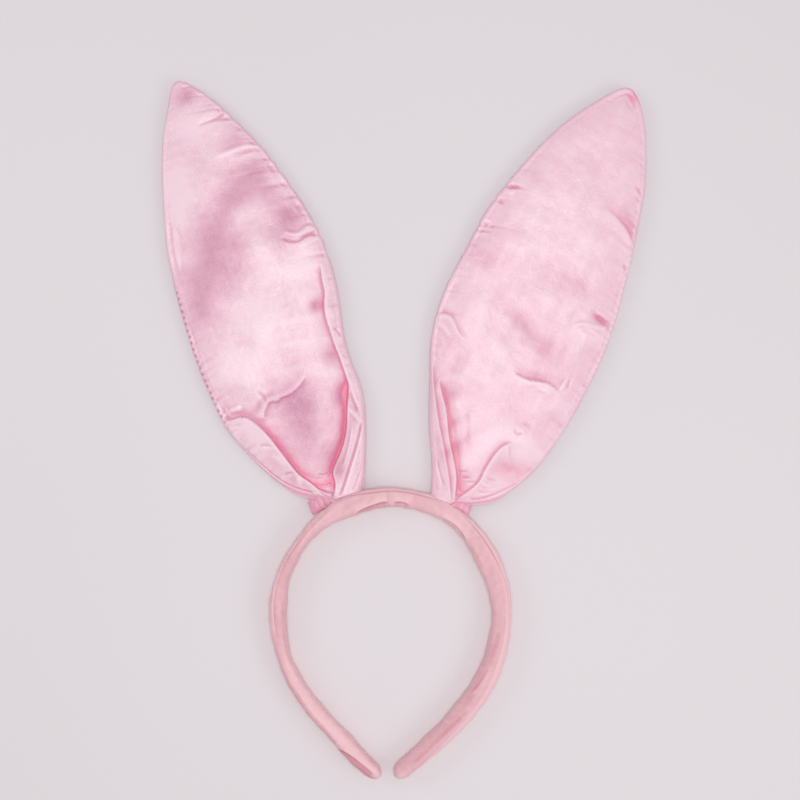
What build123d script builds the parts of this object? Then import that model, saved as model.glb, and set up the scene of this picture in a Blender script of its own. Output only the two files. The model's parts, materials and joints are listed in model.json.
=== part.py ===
"""Animal ears headband: a springy hoop in a loose fabric sleeve, carrying two satin ears.

The headband lies on its back on a table. +Z points out of its front, +Y from the hoop's
open tips to the ears, and left and right are -X and +X, as seen from the front. The origin
is on the table, at the middle of the headband's footprint. Lengths are in millimetres.

The hoop's core, its sleeve and each ear are flexible pieces. They are cut at the flex
lines, so that the arms can spring open and the ears can tilt and fold.
"""

from math import cos, degrees, radians, sin
from build123d import *
import os

# Hoop: a crown arc about the hoop's centre, then a side arc and a leg arc down to each tip
HOOP_RADIUS = 57.3  # to the middle of the band
CROWN_END = -2.0  # polar angle where the crown arc becomes the right side arc
SIDE_RADIUS = 86.0
SIDE_END = -42.0  # polar angle of the side arc where it becomes the leg arc
LEG_RADIUS = 290.0
LEG_END = -50.3

# Band section: radial thickness and depth from back to front
SLEEVE_THICK = 8.5
SLEEVE_DEPTH = 11.0
SLEEVE_CORNER = 3.0
SLEEVE_WALL = 0.6
CORE_THICK = 1.6
CORE_DEPTH = 8.0
CORE_STOP = 1.3  # degrees of leg arc that the core ends short of the tip
GLUE_START = 1.1
GLUE_STOP = 0.1
GLUE_EASE = 0.1

# Flex line of each arm
FLEX_ANGLE = 35.0  # polar angle of the right flex line
FLEX_LIMIT = 28.0  # degrees that each arm springs open
FLEX_RELIEF = 1.5  # spare degrees in the sleeve's relief
CUT_GAP = 0.3  # left between the two sides of a flex line

# Ears: each is placed by where it sits on the crown and how far it leans outward
SEAT_FROM_TOP = {"left": 24.0, "right": 29.8}
LEAN = {"left": 21.4, "right": 23.4}
EAR_HEIGHT = 4.2  # middle plane of the ears above the table
SIDE = {"left": -1, "right": 1}

# Outline of each ear: (height from the seat, half-width towards the middle, half-width outward)
OUTLINE = {
    "left": [(13, 19.5, 22.5), (28, 26.5, 32.5), (46, 32, 39.5), (74, 34, 44.3), (110, 41, 42.6),
             (144, 39.5, 38.5), (180, 31, 28), (208, 19.5, 16.5), (225, 9.5, 6.8)],
    "right": [(13, 17, 21.5), (28, 25.5, 31.5), (46, 33, 36), (74, 43.4, 42), (106, 46, 43),
              (144, 42.5, 39.5), (180, 34, 32.5), (208, 21.5, 22.5), (227, 9, 11.5)],
}
EAR_LENGTH = 232.5

# Ear thickness: a shallow crown, the same at the front and the back
CROWN_HEIGHT = 4.0  # half the thickness at the middle of the ear
CROWN_ACROSS = 430.0  # radius of the crown across the ear
CROWN_ALONG = 3900.0  # and along it
CROWN_PEAK = 105.0  # height up the ear of the thickest point
PANEL_THICK = 0.5
SEAM_THREAD_INSET = 1.0
SEAM_THREAD_RADIUS = 0.3
WIRE_INSET = 2.0
WIRE_RADIUS = 0.6
STRAND_END = 1.2  # left between the neck and the legs of the wire and thread
WADDING_INSET = 3.4
WADDING_EASE = 0.25
WADDING_END = 1.4

# Ear neck and seat
TILT_AXIS = 6.0  # height of the tilt axis above the sleeve
NECK_RADIUS = 2.8
NECK_WIDTH = 24.0
NECK_SHOULDER = 9.4  # where the neck starts to widen
NECK_TOP = 12.6
NECK_TOP_WIDTH = 34.0
TAIL_THICK = 2.0
TAIL_HALF_ANGLE = 11.0
TAIL_LOW, TAIL_HIGH = 1.0, 10.0
THREAD_RADIUS = 0.3
TACK_ANGLES = (-9.8, -7.6, 7.6, 9.8)
BINDING_HEIGHTS = (7.2, 8.0, 8.8)
BINDING_EASE = 0.05

# Fold line across each ear
FOLD_HEIGHT = 105.0
FOLD_AXIS = 4.3  # the fold axis lies just above the front panel


def polar(radius, angle, height=0.0):
    """A point at a polar angle about the hoop's centre."""
    return Vector(radius * cos(radians(angle)), radius * sin(radians(angle)), height)


SIDE_CENTRE = polar(HOOP_RADIUS - SIDE_RADIUS, CROWN_END)
LEG_CENTRE = SIDE_CENTRE + polar(SIDE_RADIUS - LEG_RADIUS, SIDE_END)
MID_DEPTH = SLEEVE_DEPTH / 2
HOOP_OUTSIDE = HOOP_RADIUS + SLEEVE_THICK / 2
FLEX_PIVOT = polar(HOOP_RADIUS + CORE_THICK / 2, FLEX_ANGLE)


# --- Hoop -----------------------------------------------------------------


def arc(centre, radius, start, stop):
    """Part of the band's centre line, at mid-depth, between two polar angles."""
    plane = Plane(origin=(centre.X, centre.Y, MID_DEPTH))
    return plane * CenterArc((0, 0), radius, start, stop - start)


def crown_path(start, stop):
    return arc(Vector(0, 0), HOOP_RADIUS, start, stop)


def arm_path(start, short=0.0):
    """The right arm from a polar angle on the crown to a given angle short of its tip."""
    side = arc(SIDE_CENTRE, SIDE_RADIUS, CROWN_END, SIDE_END)
    leg = arc(LEG_CENTRE, LEG_RADIUS, SIDE_END, LEG_END + short)
    return Wire([crown_path(start, CROWN_END), side, leg])


def leg_path(start, stop):
    """A stretch of the right leg, in degrees short of its tip."""
    return arc(LEG_CENTRE, LEG_RADIUS, LEG_END + start, LEG_END + stop)


def swept(path, thick, depth, corner):
    """A rounded rectangular section, swept along the hoop."""
    across = (path % 0).cross(Vector(0, 0, 1))
    plane = Plane(origin=path @ 0, x_dir=across, z_dir=path % 0)
    return sweep(plane * RectangleRounded(thick, depth, corner), path=path)


def sleeve_bar(path):
    return swept(path, SLEEVE_THICK, SLEEVE_DEPTH, SLEEVE_CORNER)


def sleeve_bore(path):
    wall = 2 * SLEEVE_WALL
    return swept(path, SLEEVE_THICK - wall, SLEEVE_DEPTH - wall, SLEEVE_CORNER - SLEEVE_WALL)


def core_bar(path):
    return swept(path, CORE_THICK, CORE_DEPTH, CORE_THICK / 2 - 0.05)


def tip_cap():
    """The rounded end of the right arm's sleeve."""
    tip = arm_path(FLEX_ANGLE)
    end = tip @ 1
    across = (tip % 1).cross(Vector(0, 0, 1))
    plane = Plane(origin=end, x_dir=across, z_dir=tip % 1)
    half = Rectangle(SLEEVE_THICK, SLEEVE_DEPTH, align=(Align.MIN, Align.CENTER))
    section = plane * (RectangleRounded(SLEEVE_THICK, SLEEVE_DEPTH, SLEEVE_CORNER) & half)
    return revolve(section, axis=Axis(end, (0, 0, 1)), revolution_arc=180)


def flex_relief():
    """The wedge that the arm's sleeve loses outside its flex line, so that it can open."""
    out = polar(1, FLEX_ANGLE)
    reach = SLEEVE_THICK
    turned = out.rotate(Axis.Z, -(FLEX_LIMIT + FLEX_RELIEF))
    corners = [FLEX_PIVOT, FLEX_PIVOT + out * reach * 1.4, FLEX_PIVOT + turned * reach]
    wedge = make_face(Polyline(*[(c.X, c.Y) for c in corners], close=True))
    return extrude(Plane(origin=(0, 0, -1)) * wedge, SLEEVE_DEPTH + 2)


def hoop_crown():
    """Core and sleeve between the two flex lines."""
    path = crown_path(FLEX_ANGLE, 180 - FLEX_ANGLE)
    sleeve = sleeve_bar(path) - sleeve_bore(path)
    return {"core_crown": core_bar(path), "sleeve_crown": sleeve}


def hoop_arm():
    """Core, sleeve and tip glue of the right arm."""
    start = FLEX_ANGLE - degrees(CUT_GAP / HOOP_RADIUS)
    sleeve = sleeve_bar(arm_path(start)) + tip_cap() - sleeve_bore(arm_path(start))
    glue_path = leg_path(GLUE_START, GLUE_STOP)
    ease = 2 * (SLEEVE_WALL + GLUE_EASE)
    corner = SLEEVE_CORNER - ease / 2
    glue = swept(glue_path, SLEEVE_THICK - ease, SLEEVE_DEPTH - ease, corner)
    return {
        "arm_core": core_bar(arm_path(start, CORE_STOP)),
        "arm_sleeve": sleeve - flex_relief(),
        "tip_glue": glue,
    }


# --- Ears, in their own frame: x across, y up the ear from its seat, z to the front -------


def ear_frame(side):
    """The plane that puts an ear in its place."""
    sign = SIDE[side]
    lean = radians(LEAN[side])
    seat = polar(HOOP_OUTSIDE, 90 - sign * SEAT_FROM_TOP[side], EAR_HEIGHT)
    return Plane(origin=seat, x_dir=(cos(lean), -sign * sin(lean), 0), z_dir=(0, 0, 1))


def outline_points(side):
    """Points on the seam line: up the outward side, over the tip and down the other."""
    sign = SIDE[side]
    outward = [Vector(sign * out, y) for y, _, out in OUTLINE[side]]
    inward = [Vector(-sign * mid, y) for y, mid, _ in OUTLINE[side]]
    return [*outward, Vector(0, EAR_LENGTH), *reversed(inward)]


def seam_line(side, inset=0.0):
    """The seam line of an ear, moved inward by a given amount."""
    points = outline_points(side)
    edge = Spline(*points)
    if not inset:
        return edge
    moved = []
    for point in points:
        along = edge.tangent_at(point)
        moved.append(point + Vector(-along.Y, along.X) * SIDE[side] * inset)
    return Spline(*moved)


def leaf(side, inset):
    """A flat ear shape, closed across its base."""
    edge = seam_line(side, inset)
    return make_face([edge, Line(edge @ 1, edge @ 0)])


def lens(drop):
    """Everything below the crowned front surface, lowered by a given amount."""
    top = CROWN_HEIGHT - drop
    arc_top = Plane.XZ * CenterArc((0, top - CROWN_ACROSS), CROWN_ACROSS, 80, 20)
    ends = [arc_top @ 1, arc_top @ 0]
    floor = [Vector(end.X, 0, -CROWN_HEIGHT - 2) for end in ends]
    profile = make_face([arc_top, Polyline(ends[0], floor[0], floor[1], ends[1])])
    swing = Axis((0, 0, top - CROWN_ALONG), (1, 0, 0))
    half_swing = 4.0
    profile = profile.rotate(swing, -half_swing)
    body = revolve(profile, axis=swing, revolution_arc=2 * half_swing)
    return Pos(0, CROWN_PEAK, 0) * body


def front_half(side, inset, drop):
    """The front half of an ear-shaped solid with a crowned face."""
    return extrude(leaf(side, inset), CROWN_HEIGHT + 1) & lens(drop)


def both_halves(half):
    return half + mirror(half, about=Plane.XY)


def below(shape, height):
    """What lies on the base's side of a line across the ear."""
    return split(shape, bisect_by=Plane(origin=(0, height, 0), z_dir=(0, 1, 0)), keep=Keep.BOTTOM)


def above(shape, height):
    """What lies on the tip's side of a line across the ear."""
    return split(shape, bisect_by=Plane(origin=(0, height, 0), z_dir=(0, 1, 0)), keep=Keep.TOP)


def rod(path, radius):
    """A round wire or thread along a path."""
    plane = Plane(origin=path @ 0, z_dir=path % 0)
    return sweep(plane * Circle(radius), path=path)


def strand(side, inset, radius):
    """A wire or thread that follows the seam: two legs below the fold line, a loop above it."""
    edge = seam_line(side, inset)
    sides = [edge.trim(0, 0.5), edge.trim(0.5, 1)]
    base = NECK_TOP + STRAND_END
    legs = [below(above(half, base), FOLD_HEIGHT - CUT_GAP / 2) for half in sides]
    loop = [above(half, FOLD_HEIGHT + CUT_GAP / 2) for half in sides]
    lower = Compound([rod(leg.edge(), radius) for leg in legs])
    return lower, rod(Wire([half.edge() for half in loop]), radius)


def ear_neck():
    """The gathered base of an ear, rounded about its tilt axis."""
    roll = Pos(0, TILT_AXIS, 0) * (Rot(0, 90, 0) * Cylinder(NECK_RADIUS, NECK_WIDTH))
    half, wide = NECK_WIDTH / 2, NECK_TOP_WIDTH / 2
    left_edge = [(-half, TILT_AXIS), (-half, NECK_SHOULDER), (-wide, NECK_TOP)]
    right_edge = [(-x, y) for x, y in reversed(left_edge)]
    web = make_face(Polyline(*left_edge, *right_edge, close=True))
    return roll + Pos(0, 0, -NECK_RADIUS) * extrude(web, 2 * NECK_RADIUS)


def binding_thread():
    """Turns of thread wound round the neck."""
    clear = 2 * (THREAD_RADIUS + BINDING_EASE)
    corner = THREAD_RADIUS + 2 * BINDING_EASE
    turns = []
    for height in BINDING_HEIGHTS:
        plane = Plane(origin=(0, height, 0), x_dir=(1, 0, 0), z_dir=(0, 1, 0))
        shape = RectangleRounded(NECK_WIDTH + clear, 2 * NECK_RADIUS + clear, corner)
        turns.append(rod(plane * shape.wire(), THREAD_RADIUS))
    return Compound(turns)


def cut_at_fold(shape):
    return below(shape, FOLD_HEIGHT - CUT_GAP / 2), above(shape, FOLD_HEIGHT + CUT_GAP / 2)


def ear_parts(side):
    """The pieces of one ear that cross the fold line, each as a lower and an upper part."""
    front = front_half(side, 0, 0) - front_half(side, PANEL_THICK, PANEL_THICK)
    wadding = both_halves(front_half(side, WADDING_INSET, PANEL_THICK + WADDING_EASE))
    wadding = above(wadding, NECK_TOP + WADDING_END)
    return {
        "front_panel": cut_at_fold(front),
        "back_panel": cut_at_fold(mirror(front, about=Plane.XY)),
        "wadding": cut_at_fold(wadding),
        "edge_wire": strand(side, WIRE_INSET, WIRE_RADIUS),
        "seam_thread": strand(side, SEAM_THREAD_INSET, SEAM_THREAD_RADIUS),
    }


# --- Seats: the ear fabric's tail and the tacking stitches, on the crown -----------------


def seat_angle(side):
    return 90 - SIDE[side] * SEAT_FROM_TOP[side]


def ear_tail(side):
    """The tail of gathered fabric that is sewn down over the outside of the sleeve."""
    middle = seat_angle(side)
    first, span = middle - TAIL_HALF_ANGLE, 2 * TAIL_HALF_ANGLE
    inner = CenterArc((0, 0), HOOP_OUTSIDE, first, span)
    outer = CenterArc((0, 0), HOOP_OUTSIDE + TAIL_THICK, first, span)
    pad = make_face([inner, Line(inner @ 1, outer @ 1), outer, Line(outer @ 0, inner @ 0)])
    return extrude(Pos(0, 0, TAIL_LOW) * pad, TAIL_HIGH - TAIL_LOW)


def tacking_stitches(side):
    """Stitches that hold the tail down."""
    stitches = []
    for offset in TACK_ANGLES:
        foot = polar(HOOP_OUTSIDE + TAIL_THICK + THREAD_RADIUS, seat_angle(side) + offset)
        length = TAIL_HIGH - TAIL_LOW - 1
        middle = (TAIL_HIGH + TAIL_LOW) / 2
        stitches.append(Pos(foot.X, foot.Y, middle) * Cylinder(THREAD_RADIUS, length))
    return Compound(stitches)


# --- Assembly ---------------------------------------------------------------------------


def assembly():
    """Every node of the headband, about the hoop's centre."""
    nodes = {f"headband_{name}": shape for name, shape in hoop_crown().items()}
    for name, shape in hoop_arm().items():
        nodes[f"right_{name}"] = shape
        nodes[f"left_{name}"] = mirror(shape, about=Plane.YZ)
    for side in SIDE:
        place = ear_frame(side)
        nodes[f"{side}_ear_tail"] = ear_tail(side)
        nodes[f"{side}_ear_tacking_stitches"] = tacking_stitches(side)
        nodes[f"{side}_ear_gathered_neck"] = place * ear_neck()
        nodes[f"{side}_ear_binding_thread"] = place * binding_thread()
        for name, (lower, upper) in ear_parts(side).items():
            nodes[f"{side}_ear_{name}_lower"] = place * lower
            nodes[f"{side}_ear_{name}_upper"] = place * upper
    return nodes


def main():
    nodes = assembly()
    box = Compound([*nodes.values()]).bounding_box()
    shift = Vector(-box.center().X, -box.center().Y, -box.min.Z)
    os.makedirs("parts", exist_ok=True)
    for name, shape in nodes.items():
        export_step(Pos(shift) * shape, f"parts/{name}.step")


main()
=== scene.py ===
import json
from math import cos, pi, radians, sin

import bpy
import numpy as np
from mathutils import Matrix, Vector


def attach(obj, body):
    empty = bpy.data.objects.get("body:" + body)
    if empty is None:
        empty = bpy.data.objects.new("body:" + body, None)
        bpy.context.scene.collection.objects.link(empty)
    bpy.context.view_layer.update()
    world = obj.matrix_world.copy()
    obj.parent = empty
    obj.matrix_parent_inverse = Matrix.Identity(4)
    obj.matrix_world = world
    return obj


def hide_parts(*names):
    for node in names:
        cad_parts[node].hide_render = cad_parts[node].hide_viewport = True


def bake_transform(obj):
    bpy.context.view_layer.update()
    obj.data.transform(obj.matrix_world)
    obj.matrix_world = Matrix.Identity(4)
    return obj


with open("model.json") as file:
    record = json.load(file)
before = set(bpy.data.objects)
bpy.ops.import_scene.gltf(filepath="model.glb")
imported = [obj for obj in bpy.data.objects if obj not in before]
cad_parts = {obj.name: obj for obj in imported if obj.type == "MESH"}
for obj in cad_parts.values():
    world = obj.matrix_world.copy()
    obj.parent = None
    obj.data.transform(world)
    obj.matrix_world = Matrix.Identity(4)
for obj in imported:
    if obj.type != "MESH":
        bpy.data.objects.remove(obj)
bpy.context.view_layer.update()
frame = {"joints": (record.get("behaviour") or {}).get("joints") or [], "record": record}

# Lengths in the tables below are in millimetres. Each ear has its own axes: x across, from the left to
# the right, v up the ear from the band, z up from the ear's middle plane. The band is laid out by s, the
# arc from the middle of the crown, and r, out from its centre line.

MM = 0.001
joints = {j["name"]: j for j in frame["joints"]}
mounts = {m["name"]: m for m in frame["record"]["mounts"]}
hoop = np.array(mounts["head_grip"]["pos_m"]) / MM
BAND_MIDDLE = hoop[2]
SEAT = 6.0                     # from the band up to the axis that an ear tilts about
FOLD = 105.0                   # from the band up to the axis that an ear folds about
FOLD_REACH = 22.0              # the cloth bends this far to either side of that axis
BAND_FACE = 61.6               # radius of the band's outer face at the crown, where the ears sit
STITCH = 2.6                   # pitch of the sewing round an ear
DOT = 3.4                      # pitch of its stitch marks where they show
STRAND_START = 13.0            # the wire and the seam thread run above this height
THREAD_RADIUS = 0.24
TACK_PLACES = (-8.5, -6.0, 6.0, 8.5)
BINDING_TURNS, BINDING_LOW, BINDING_PITCH, BINDING_WAIST = 3, 7.2, 0.8, 8.0


def smooth(x):
    x = np.clip(x, 0, 1)
    return x * x * (3 - 2 * x)


def bell(x):
    return np.exp(-x * x)


# ---------------------------------------------------------------- node materials

def srgb(*rgb):
    rgb = np.array(rgb) / 255
    return tuple(np.where(rgb < 0.04045, rgb / 12.92, ((rgb + 0.055) / 1.055) ** 2.4)) + (1.0,)


class Nodes:
    """A material under construction, with short calls for the nodes that cloth needs."""

    def __init__(self, name):
        self.material = bpy.data.materials.new(name)
        self.material.use_nodes = True
        self.tree = self.material.node_tree
        self.shader = self.tree.nodes["Principled BSDF"]

    def add(self, kind, **settings):
        node = self.tree.nodes.new(kind)
        for key, value in settings.items():
            if key in node.inputs:
                node.inputs[key].default_value = value
            else:
                setattr(node, key, value)
        return node

    def link(self, source, target):
        self.tree.links.new(source, target)

    def math(self, operation, a, b=None):
        node = self.tree.nodes.new("ShaderNodeMath")
        node.operation = operation
        for socket, value in zip(node.inputs, (a, b)):
            if isinstance(value, (int, float)):
                socket.default_value = value
            elif value is not None:
                self.link(value, socket)
        return node.outputs[0]

    def mix(self, factor, a, b):
        node = self.tree.nodes.new("ShaderNodeMix")
        node.data_type = "RGBA"
        for socket, value in ((node.inputs[0], factor), (node.inputs[6], a), (node.inputs[7], b)):
            if isinstance(value, (int, float, tuple)):
                socket.default_value = value
            else:
                self.link(value, socket)
        return node.outputs[2]

    def noise(self, vector, scale, detail=2.0, roughness=0.5, distortion=0.0):
        node = self.add("ShaderNodeTexNoise", Scale=scale, Detail=detail, Roughness=roughness,
                        Distortion=distortion)
        self.link(vector, node.inputs["Vector"])
        return node.outputs[0]

    def wave(self, vector, scale, direction, distortion=0.0, detail_scale=1.0):
        node = self.add("ShaderNodeTexWave", Scale=scale, Distortion=distortion)
        node.bands_direction = direction
        node.inputs["Detail Scale"].default_value = detail_scale
        self.link(vector, node.inputs["Vector"])
        return node.outputs[1]

    def bump(self, height, distance, strength=1.0, normal=None):
        node = self.add("ShaderNodeBump", Strength=strength, Distance=distance)
        self.link(height, node.inputs["Height"])
        if normal is not None:
            self.link(normal, node.inputs["Normal"])
        return node.outputs[0]

    def finish(self, **sockets):
        for key, value in sockets.items():
            socket = self.shader.inputs[key.replace("_", " ")]
            if isinstance(value, (int, float, tuple)):
                socket.default_value = value
            else:
                self.link(value, socket)
        return self.material


def satin(name, base, deep, light, painted_glow, seed):
    """Polyester satin: a close weave with long floats, a broad soft gloss, and a drifting tone."""
    m = Nodes(name)
    uv = m.add("ShaderNodeUVMap", uv_map="cloth").outputs[0]
    shifted = m.add("ShaderNodeMapping", Location=(seed, seed * 0.7, 0.0))
    m.link(uv, shifted.inputs["Vector"])
    uv = shifted.outputs[0]
    # The tone attribute carries painted shade and painted sheen from the mesh, and the stitch marks; drift
    # and flecks below are the cloth's own random tone.
    tone = m.add("ShaderNodeAttribute", attribute_name="tone").outputs["Fac"]
    drift = m.noise(uv, 28.0, 3.0, 0.55)
    flecks = m.noise(uv, 950.0, 2.0, 0.7)
    slub = m.add("ShaderNodeMapping", Scale=(900.0, 130.0, 1.0))
    m.link(uv, slub.inputs["Vector"])
    floats = m.noise(slub.outputs[0], 1.0, 2.0, 0.6)
    amount = m.math("ADD", tone, m.math("MULTIPLY", m.math("SUBTRACT", drift, 0.5), 0.35))
    amount = m.math("ADD", amount, m.math("MULTIPLY", m.math("SUBTRACT", flecks, 0.5), 0.5))
    ramp = m.add("ShaderNodeValToRGB")
    ramp.color_ramp.elements[0].position = 0.0
    ramp.color_ramp.elements[0].color = light
    ramp.color_ramp.elements[1].position = 1.0
    ramp.color_ramp.elements[1].color = deep
    middle = ramp.color_ramp.elements.new(0.42)
    middle.color = base
    m.link(amount, ramp.inputs[0])
    color = m.mix(m.math("MULTIPLY", m.math("SUBTRACT", floats, 0.45), 0.25), ramp.outputs[0], light)
    # Painted glow: light reflected between the cloth's faces under a fold, painted as a stronger pink.
    fold = m.add("ShaderNodeAttribute", attribute_name="painted_glow").outputs["Fac"]
    color = m.mix(fold, color, painted_glow)
    warp = m.wave(uv, 1900.0 / (2 * pi), "X", 0.6)
    weft = m.wave(uv, 900.0 / (2 * pi), "Y", 1.2)
    weave = m.math("ADD", m.math("MULTIPLY", warp, 0.7), m.math("MULTIPLY", weft, 0.3))
    creases = m.noise(uv, 150.0, 4.0, 0.62, 0.6)
    crumple = m.noise(uv, 520.0, 3.0, 0.65, 0.8)
    normal = m.bump(creases, 0.00045, 0.7)
    normal = m.bump(crumple, 0.00010, 0.6, normal)
    normal = m.bump(floats, 0.00005, 0.5, normal)
    normal = m.bump(weave, 0.00003, 0.5, normal)
    rough = m.math("ADD", m.math("MULTIPLY", flecks, 0.12), 0.34)
    return m.finish(Base_Color=color, Roughness=rough, Normal=normal, Specular_IOR_Level=0.62,
                    Anisotropic=0.45, Sheen_Weight=0.35, Sheen_Roughness=0.35,
                    Sheen_Tint=srgb(255, 226, 236), Subsurface_Weight=0.12,
                    Subsurface_Radius=(0.004, 0.002, 0.002), Subsurface_Scale=0.5)


def woven(name, base, deep, rough, thread=700.0):
    """A matte plain weave, with thread-scale bumps, soft mottling and a little fuzz."""
    m = Nodes(name)
    uv = m.add("ShaderNodeUVMap", uv_map="cloth").outputs[0]
    # The tone attribute carries the sleeve's painted shade and painted highlight.
    tone = m.add("ShaderNodeAttribute", attribute_name="tone").outputs["Fac"]
    warp = m.wave(uv, thread * 1.0, "X", 0.8)
    weft = m.wave(uv, thread * 0.9, "Y", 0.8)
    weave = m.math("MULTIPLY", warp, weft)
    mottle = m.noise(uv, 60.0, 4.0, 0.6)
    fine = m.noise(uv, 900.0, 2.0, 0.6)
    amount = m.math("ADD", tone, m.math("MULTIPLY", m.math("SUBTRACT", mottle, 0.5), 0.5))
    amount = m.math("ADD", amount, m.math("MULTIPLY", m.math("SUBTRACT", fine, 0.5), 0.3))
    amount = m.math("ADD", amount, m.math("MULTIPLY", m.math("SUBTRACT", 0.5, weave), 0.15))
    clamp = m.add("ShaderNodeClamp")
    m.link(amount, clamp.inputs[0])
    color = m.mix(clamp.outputs[0], base, deep)
    normal = m.bump(mottle, 0.0003, 0.35)
    normal = m.bump(weave, 0.00006, 0.6, normal)
    return m.finish(Base_Color=color, Roughness=rough, Normal=normal, Specular_IOR_Level=0.3,
                    Sheen_Weight=0.45, Sheen_Roughness=0.45, Sheen_Tint=srgb(255, 222, 226))


def grained(name, base, deep, rough, metal=0.0, scale=260.0, depth=0.00008, **more):
    """Anything smooth and solid: plastic, glue or wire, with fine streaks and wear in its tone."""
    m = Nodes(name)
    place = m.add("ShaderNodeTexCoord").outputs["Object"]
    marks = m.noise(place, scale, 4.0, 0.6)
    broad = m.noise(place, 55.0, 2.0, 0.5)
    color = m.mix(m.math("MULTIPLY", m.math("ADD", marks, broad), 0.5), base, deep)
    normal = m.bump(marks, depth, 0.5)
    roughness = m.math("ADD", m.math("MULTIPLY", marks, 0.15), rough)
    return m.finish(Base_Color=color, Roughness=roughness, Normal=normal, Metallic=metal, **more)


# Each satin's fourth colour is the strong pink of its painted glow under folds.
SATIN = {"left": satin("satin_left", srgb(234, 184, 202), srgb(204, 134, 164), srgb(250, 218, 229),
                       srgb(238, 118, 156), 0.0),
         "right": satin("satin_right", srgb(239, 191, 208), srgb(214, 142, 170), srgb(250, 215, 227),
                        srgb(240, 132, 160), 3.1)}
SLEEVE = woven("sleeve_cloth", srgb(246, 202, 208), srgb(200, 132, 146), 0.78)
BATTING = woven("batting_fibre", srgb(244, 240, 238), srgb(222, 216, 214), 0.95, 320.0)
PLASTIC = grained("core_plastic", srgb(232, 226, 222), srgb(206, 198, 194), 0.42)
GLUE = grained("clear_glue", srgb(236, 228, 214), srgb(218, 204, 186), 0.18, scale=120.0)
WIRE = grained("steel_wire", srgb(190, 190, 194), srgb(140, 140, 146), 0.28, metal=1.0, scale=500.0)


def thread_material():
    m = Nodes("sewing_thread")
    place = m.add("ShaderNodeTexCoord").outputs["Object"]
    twist = m.wave(place, 900.0, "DIAGONAL", 0.4)
    fuzz = m.noise(place, 1500.0, 3.0, 0.6)
    color = m.mix(m.math("MULTIPLY", m.math("ADD", twist, fuzz), 0.5), srgb(246, 206, 216),
                  srgb(222, 150, 172))
    return m.finish(Base_Color=color, Roughness=0.55, Normal=m.bump(twist, 0.0001, 0.6),
                    Sheen_Weight=0.3)


THREAD = thread_material()


# ---------------------------------------------------------------- meshes

def grid_mesh(name, points, uv, material, tone=None, painted_glow=None, wrap=False, caps=False):
    """A sheet or tube from rows of points: wrap joins its last column to the first, caps closes its ends."""
    rows, columns = points.shape[:2]
    vertices = points.reshape(-1, 3) * MM
    index = np.arange(rows * columns).reshape(rows, columns)
    if wrap:
        index = np.hstack([index, index[:, :1]])
    quads = np.stack([index[:-1, :-1], index[:-1, 1:], index[1:, 1:], index[1:, :-1]], -1).reshape(-1, 4)
    faces = [tuple(int(i) for i in q) for q in quads]
    if caps:
        faces.append(tuple(int(i) for i in index[0, :columns][::-1]))
        faces.append(tuple(int(i) for i in index[-1, :columns]))
    mesh = bpy.data.meshes.new(name)
    mesh.from_pydata(vertices.tolist(), [], faces)
    layer = mesh.uv_layers.new(name="cloth")
    u = np.broadcast_to(uv[0], points.shape[:2])
    v = np.broadcast_to(uv[1], points.shape[:2])
    span = u[:, -1:] + (u[:, -1:] - u[:, -2:-1])
    u, v = (np.hstack([u, span]), np.hstack([v, v[:, :1]])) if wrap else (u, v)
    corners = np.stack([np.stack([a[:-1, :-1], a[:-1, 1:], a[1:, 1:], a[1:, :-1]], -1)
                        for a in (u, v)], -1).reshape(-1, 2) * MM
    if caps:
        for row in (0, -1):
            ring = np.stack([u[row, :columns], v[row, :columns]], -1) * MM
            corners = np.vstack([corners, ring[::-1] if row == 0 else ring])
    layer.data.foreach_set("uv", corners.astype(np.float32).ravel())
    # The tone attribute carries painted shade and painted highlight as well as stitch marks; the second
    # attribute carries the painted glow under folds.
    for label, value in (("tone", tone), ("painted_glow", painted_glow)):
        value = np.broadcast_to(0.0 if value is None else value, points.shape[:2])
        attribute = mesh.attributes.new(label, "FLOAT", "POINT")
        attribute.data.foreach_set("value", value.astype(np.float32).ravel())
    mesh.polygons.foreach_set("use_smooth", [i < len(quads) for i in range(len(faces))])
    mesh.update()
    piece = bpy.data.objects.new(name, mesh)
    bpy.context.scene.collection.objects.link(piece)
    mesh.materials.append(material)
    return piece


def blurred(field, cells):
    """The field averaged over its neighbours, along the rows and then across."""
    n = int(3 * cells)
    kernel = bell(np.arange(-n, n + 1) / (1.414 * cells))
    kernel /= kernel.sum()
    for axis in (0, 1):
        wide = np.pad(field, [(n, n) if a == axis else (0, 0) for a in (0, 1)], mode="edge")
        field = np.apply_along_axis(np.convolve, axis, wide, kernel, "valid")
    return field


def smoothed(line, reach, width, mode="edge"):
    """A row of values, each averaged with its neighbours under a bell curve."""
    kernel = bell(np.arange(-reach, reach + 1) / width)
    return np.convolve(np.pad(line, reach, mode=mode), kernel / kernel.sum(), "valid")


def rope(path, radius, sides):
    """Rings of points round a path of points, as an array of rings."""
    path = np.array(path, float)
    along = np.gradient(path, axis=0)
    along /= np.linalg.norm(along, axis=1)[:, None]
    side = np.cross(along, [0, 0, 1.0])
    side /= np.maximum(np.linalg.norm(side, axis=1), 1e-9)[:, None]
    up = np.cross(side, along)
    turn = np.linspace(0, 2 * pi, sides, endpoint=False)
    radius = np.broadcast_to(np.asarray(radius, float), len(path))[:, None, None]
    return path[:, None] + radius * (np.cos(turn)[None, :, None] * side[:, None]
                                     + np.sin(turn)[None, :, None] * up[:, None])


def lengths(path):
    steps = np.linalg.norm(np.diff(path, axis=0), axis=1)
    return np.concatenate([[0], np.cumsum(steps)])


def rounded(line, times=2):
    """The line with its corners cut, so a fold has no kinks."""
    line = np.array(line, float)
    for _ in range(times):
        line = np.vstack([line[:1], np.stack([0.75 * line[:-1] + 0.25 * line[1:],
                                              0.25 * line[:-1] + 0.75 * line[1:]], 1).reshape(-1, 2),
                          line[-1:]])
    return line


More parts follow.
